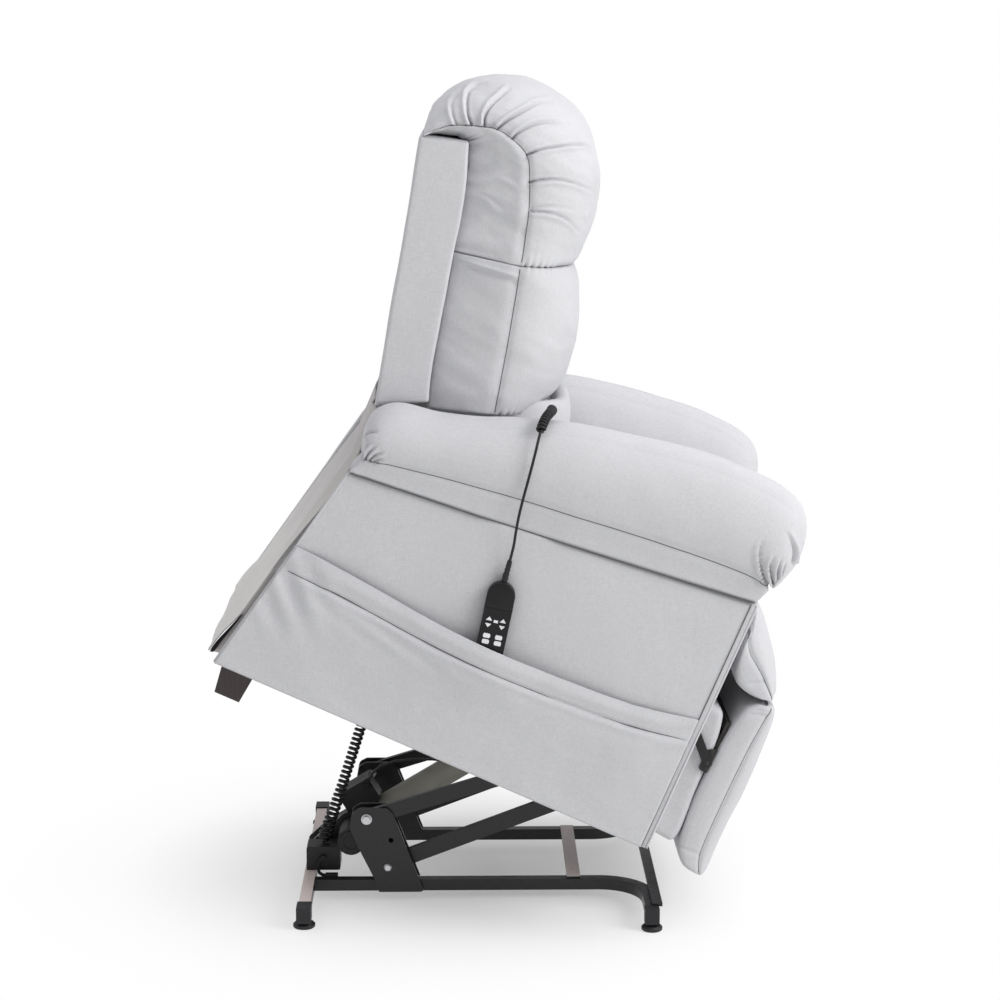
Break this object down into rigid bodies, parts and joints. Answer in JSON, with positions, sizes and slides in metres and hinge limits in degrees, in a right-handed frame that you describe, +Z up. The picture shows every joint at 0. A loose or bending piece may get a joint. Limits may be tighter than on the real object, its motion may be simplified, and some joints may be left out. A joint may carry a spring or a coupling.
{
  "type": "lift recliner chair",
  "caption": "Powered lift recliner armchair on a four-bar lift base, with reclining back, folding footrest, roll arms, side pocket and corded handset, raised.",
  "frame": {"origin": "on the floor, at the middle of the rear right glide", "axes": "+X forwards as a sitter faces, +Y towards the sitter's left, +Z up"},
  "size_m": [0.9799, 0.8185, 1.4357],
  "materials": {
    "upholstery": "fine woven, matt",
    "black_steel": "satin powder coat",
    "black_plastic": "moulded, matt",
    "cable": "matt",
    "zinc_steel": "zinc plated",
    "grey_plastic": "moulded, matt",
    "spring_steel": "oiled wire",
    "plywood": "stained black",
    "dark_wood": "dark stained, satin",
    "handset_plastic": "moulded, satin",
    "key_plastic": "printed keypad"
  },
  "bodies": {
    "base": {"base_rear_tube": "black_steel", "base_side_rails": "black_steel", "base_front_bar": "black_steel", "base_cross_strap": "black_steel", "foot_sleeves": "black_plastic", "foot_glides": "black_plastic", "pivot_plates": "black_steel", "upper_pivot_bolts": "zinc_steel", "lower_pivot_rivets": "zinc_steel", "lift_motor_bracket": "black_steel", "junction_box": "black_plastic", "mains_lead": "cable", "coil_cord": "cable"},
    "lower_link": {"lower_lift_links": "black_steel"},
    "upper_link": {"upper_lift_links": "black_steel"},
    "lift_actuator": {"lift_motor": "black_plastic", "lift_outer_tube": "grey_plastic", "lift_motor_leads": "cable"},
    "lift_actuator_rod": {"lift_rod": "zinc_steel"},
    "seat": {"side_frames": "plywood", "side_panel_right": "upholstery", "side_panel_left": "upholstery", "arm_pad_right": "upholstery", "arm_pad_left": "upholstery", "side_pocket": "upholstery", "seat_steel_frame": "black_steel", "lift_brackets": "black_steel", "seat_springs": "spring_steel", "seat_cushion": "upholstery", "front_panel": "upholstery", "rear_legs": "dark_wood", "rear_skirt": "upholstery", "recline_brackets": "black_steel", "footrest_brackets": "black_steel"},
    "chaise": {"chaise_pad": "upholstery"},
    "back": {"back_frame": "black_steel", "back_shell": "upholstery", "head_pillow": "upholstery", "middle_pillow": "upholstery", "lumbar_pillow": "upholstery"},
    "recline_actuator": {"recline_motor": "black_plastic"},
    "recline_actuator_rod": {"recline_rod": "zinc_steel"},
    "drive_link": {"footrest_drive_links": "black_steel"},
    "carrier_link": {"footrest_carrier_links": "black_steel"},
    "stay_link": {"footrest_stay_links": "black_steel"},
    "ottoman": {"ottoman_board": "plywood", "ottoman_pad": "upholstery"},
    "handset": {"handset_front": "handset_plastic", "handset_back": "handset_plastic", "handset_cord": "cable"},
    "key_recline": {"button_recline": "key_plastic"},
    "key_upright": {"button_upright": "key_plastic"},
    "key_lift": {"button_lift": "key_plastic"},
    "key_lower": {"button_lower": "key_plastic"},
    "key_centre": {"button_centre": "key_plastic"},
    "key_preset_1": {"button_preset_1": "key_plastic"},
    "key_preset_2": {"button_preset_2": "key_plastic"},
    "key_preset_3": {"button_preset_3": "key_plastic"},
    "key_preset_4": {"button_preset_4": "key_plastic"}
  },
  "joints": [
    {"name": "lift", "type": "hinge", "parent": "base", "child": "lower_link", "pos_m": [0.1395, 0.295, 0.0616], "axis": [0, 1, 0], "range_deg": [0, 18.57], "deforming": ["coil_cord"]},
    {"name": "seat_tilt", "type": "hinge", "parent": "lower_link", "child": "seat", "pos_m": [0.53519, 0.295, 0.21112], "axis": [0, -1, 0], "range_deg": [0, 42.91]},
    {"name": "upper_link_swing", "type": "hinge", "parent": "base", "child": "upper_link", "pos_m": [0.103, 0.295, 0.15], "axis": [0, 1, 0], "range_deg": [0, 25.41]},
    {"name": "lift_actuator_swing", "type": "hinge", "parent": "base", "child": "lift_actuator", "pos_m": [0.073, 0.295, 0.092], "axis": [0, 1, 0], "range_deg": [0, 17.25]},
    {"name": "lift_actuator_stroke", "type": "slide", "parent": "lift_actuator", "child": "lift_actuator_rod", "axis": [0.8579, 0, 0.5137], "range_m": [-0.08653, 0]},
    {"name": "recline", "type": "hinge", "parent": "seat", "child": "back", "pos_m": [0.10857, 0.295, 0.70318], "axis": [0, -1, 0], "range_deg": [0, 40]},
    {"name": "recline_actuator_swing", "type": "hinge", "parent": "seat", "child": "recline_actuator", "pos_m": [0.46085, 0.295, 0.4507], "axis": [0, 1, 0], "range_deg": [0, 4.4]},
    {"name": "recline_actuator_stroke", "type": "slide", "parent": "recline_actuator", "child": "recline_actuator_rod", "axis": [-0.8933, 0, 0.4494], "range_m": [-0.0375, 0]},
    {"name": "footrest", "type": "hinge", "parent": "seat", "child": "drive_link", "pos_m": [0.60286, 0.295, 0.26471], "axis": [0, 1, 0], "range_deg": [0, 67.4]},
    {"name": "carrier_link_fold", "type": "hinge", "parent": "drive_link", "child": "carrier_link", "pos_m": [0.62001, 0.295, 0.46397], "axis": [0, -1, 0], "range_deg": [0, 134.87]},
    {"name": "ottoman_turn", "type": "hinge", "parent": "carrier_link", "child": "ottoman", "pos_m": [0.68933, 0.295, 0.27637], "axis": [0, -1, 0], "range_deg": [0, 22.61]},
    {"name": "stay_link_swing", "type": "hinge", "parent": "seat", "child": "stay_link", "pos_m": [0.56023, 0.295, 0.26751], "axis": [0, 1, 0], "range_deg": [0, 60.83]},
    {"name": "chaise_turn", "type": "hinge", "parent": "ottoman", "child": "chaise", "pos_m": [0.80443, 0.295, 0.37443], "axis": [0, 1, 0], "range_deg": [0, 52.03]},
    {"name": "handset_draw", "type": "slide", "parent": "seat", "child": "handset", "axis": [0.2065, 0, 0.9784], "range_m": [0, 0.08], "deforming": ["handset_cord"]},
    {"name": "press_recline", "type": "slide", "parent": "handset", "child": "key_recline", "axis": [0, 1, 0], "range_m": [0, 0.001], "stiffness_N_per_m": 400},
    {"name": "press_upright", "type": "slide", "parent": "handset", "child": "key_upright", "axis": [0, 1, 0], "range_m": [0, 0.001], "stiffness_N_per_m": 400},
    {"name": "press_lift", "type": "slide", "parent": "handset", "child": "key_lift", "axis": [0, 1, 0], "range_m": [0, 0.001], "stiffness_N_per_m": 400},
    {"name": "press_lower", "type": "slide", "parent": "handset", "child": "key_lower", "axis": [0, 1, 0], "range_m": [0, 0.001], "stiffness_N_per_m": 400},
    {"name": "press_centre", "type": "slide", "parent": "handset", "child": "key_centre", "axis": [0, 1, 0], "range_m": [0, 0.001], "stiffness_N_per_m": 400},
    {"name": "press_preset_1", "type": "slide", "parent": "handset", "child": "key_preset_1", "axis": [0, 1, 0], "range_m": [0, 0.001], "stiffness_N_per_m": 400},
    {"name": "press_preset_2", "type": "slide", "parent": "handset", "child": "key_preset_2", "axis": [0, 1, 0], "range_m": [0, 0.001], "stiffness_N_per_m": 400},
    {"name": "press_preset_3", "type": "slide", "parent": "handset", "child": "key_preset_3", "axis": [0, 1, 0], "range_m": [0, 0.001], "stiffness_N_per_m": 400},
    {"name": "press_preset_4", "type": "slide", "parent": "handset", "child": "key_preset_4", "axis": [0, 1, 0], "range_m": [0, 0.001], "stiffness_N_per_m": 400}
  ],
  "couplings": [
    {"joint": "seat_tilt", "follows": "lift", "ratio": 2.3095},
    {"joint": "upper_link_swing", "follows": "lift", "ratio": 1.3674},
    {"joint": "lift_actuator_swing", "follows": "lift", "ratio": 0.9282},
    {"joint": "lift_actuator_stroke", "follows": "lift", "m_per_rad": -0.26682},
    {"joint": "recline_actuator_swing", "follows": "recline", "ratio": 0.11006},
    {"joint": "recline_actuator_stroke", "follows": "recline", "m_per_rad": -0.053695},
    {"joint": "carrier_link_fold", "follows": "footrest", "ratio": 2},
    {"joint": "ottoman_turn", "follows": "footrest", "ratio": 0.33531},
    {"joint": "stay_link_swing", "follows": "footrest", "ratio": 0.90205},
    {"joint": "chaise_turn", "follows": "footrest", "ratio": 0.77151}
  ]
}
